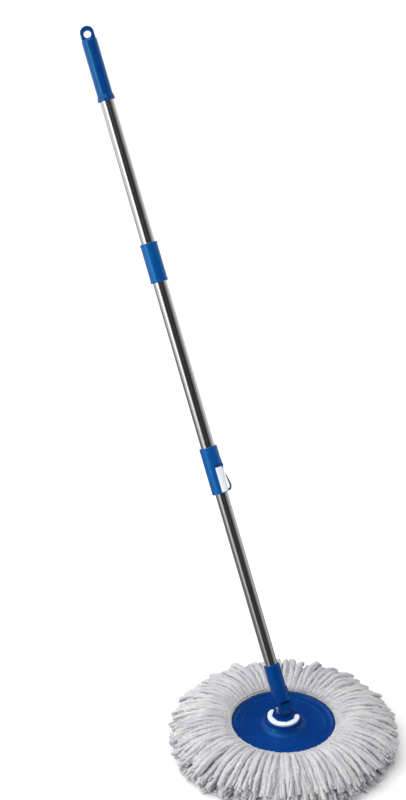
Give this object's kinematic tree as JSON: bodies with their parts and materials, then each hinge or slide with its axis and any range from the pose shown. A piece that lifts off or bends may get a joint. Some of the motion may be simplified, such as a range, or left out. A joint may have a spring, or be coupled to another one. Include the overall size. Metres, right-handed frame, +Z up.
{
  "type": "spin mop",
  "caption": "Push-to-spin mop: telescopic steel pole with a hanging grip, flip-lever lock and coupler, hinged to a round plate with a microfibre yarn fringe.",
  "frame": {"origin": "centre of the mop head's underside, on the floor", "axes": "+Z up, pivot pin along Y, pole leaning 30 degrees from upright towards -X"},
  "size_m": [0.7166, 0.352, 0.9993],
  "materials": {
    "blue_plastic": "gloss",
    "polished_steel": "polished",
    "bright_steel": "satin",
    "white_plastic": "gloss",
    "natural_plastic": "satin",
    "slate_rubber": "matte",
    "microfibre": "matte"
  },
  "bodies": {
    "handle": {"grip": "blue_plastic", "upper_tube": "polished_steel", "coupler_sleeve": "blue_plastic", "coupler_insert": "natural_plastic", "middle_tube": "polished_steel", "lock_sleeve": "blue_plastic", "lever_pin": "bright_steel", "rod_plug": "natural_plastic", "rod_rivet": "bright_steel", "twisted_rod": "bright_steel"},
    "bush": {"guide_bush": "natural_plastic"},
    "lower_pole": {"lower_tube": "polished_steel", "clutch_cup": "natural_plastic", "drive_nut": "natural_plastic", "clutch_spring": "bright_steel", "clutch_cap": "natural_plastic", "pole_socket": "blue_plastic", "pivot_pin": "bright_steel"},
    "lever": {"lock_lever": "white_plastic", "lever_pad": "slate_rubber"},
    "head": {"pivot_block": "blue_plastic", "mop_plate": "blue_plastic", "retaining_clip": "white_plastic", "refill_ring": "natural_plastic", "yarn_fringe": "microfibre"}
  },
  "joints": [
    {"name": "push_stroke", "type": "slide", "parent": "handle", "child": "bush", "axis": [-0.5, 0, 0.866], "range_m": [0, 0.15]},
    {"name": "pole_spin", "type": "hinge", "parent": "bush", "child": "lower_pole", "pos_m": [-0.15, 0, 0.32881], "axis": [-0.5, 0, 0.866], "range_deg": [0, 675]},
    {"name": "head_tilt", "type": "hinge", "parent": "lower_pole", "child": "head", "pos_m": [0, 0, 0.069], "axis": [0, 1, 0], "range_deg": [-120, 60]},
    {"name": "lever_flip", "type": "hinge", "parent": "handle", "child": "lever", "pos_m": [-0.1858, 0.01039, 0.40282], "axis": [0.75, -0.5, 0.433], "range_deg": [0, 105]}
  ],
  "couplings": [
    {"joint": "pole_spin", "follows": "push_stroke", "rad_per_m": 78.54}
  ]
}
